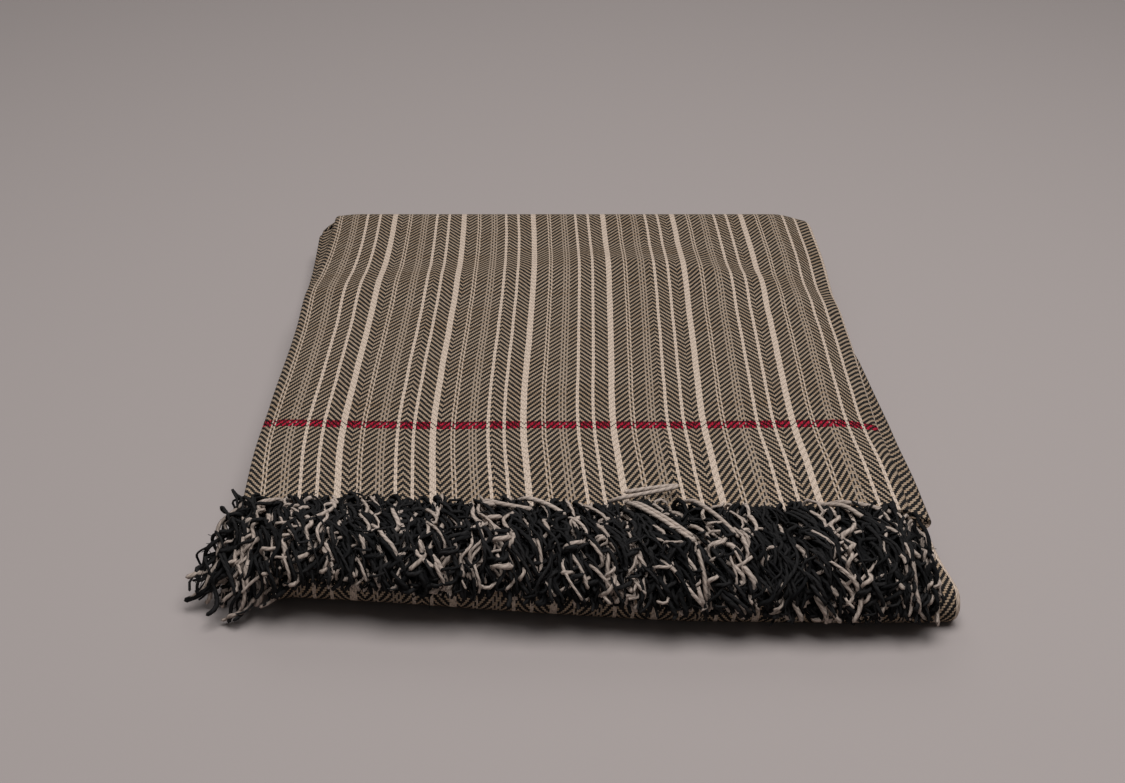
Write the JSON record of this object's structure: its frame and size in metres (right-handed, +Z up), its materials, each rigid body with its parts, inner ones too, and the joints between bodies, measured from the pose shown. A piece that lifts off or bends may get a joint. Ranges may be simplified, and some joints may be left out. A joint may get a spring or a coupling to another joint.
{
  "type": "folded cotton throw",
  "caption": "Cotton throw in black and ecru herringbone with cream stripes and a red weft line, folded into a flat stack, its cut yarn fringe falling over the front edge.",
  "frame": {"origin": "on the surface under the middle of the folded stack", "axes": "+Z up through the stack, the fringed front edge towards -Y, the closed side fold towards +X"},
  "size_m": [0.3565, 0.4385, 0.0402],
  "materials": {
    "woven_cotton": "matt herringbone twill, black warp with cream stripes, ecru weft",
    "warp_yarn": "matt cotton yarn, mostly black with cream ends"
  },
  "bodies": {
    "root": {"throw_cloth": "woven_cotton", "fringe_upper_end": "warp_yarn", "fringe_lower_end": "warp_yarn"}
  },
  "joints": []
}
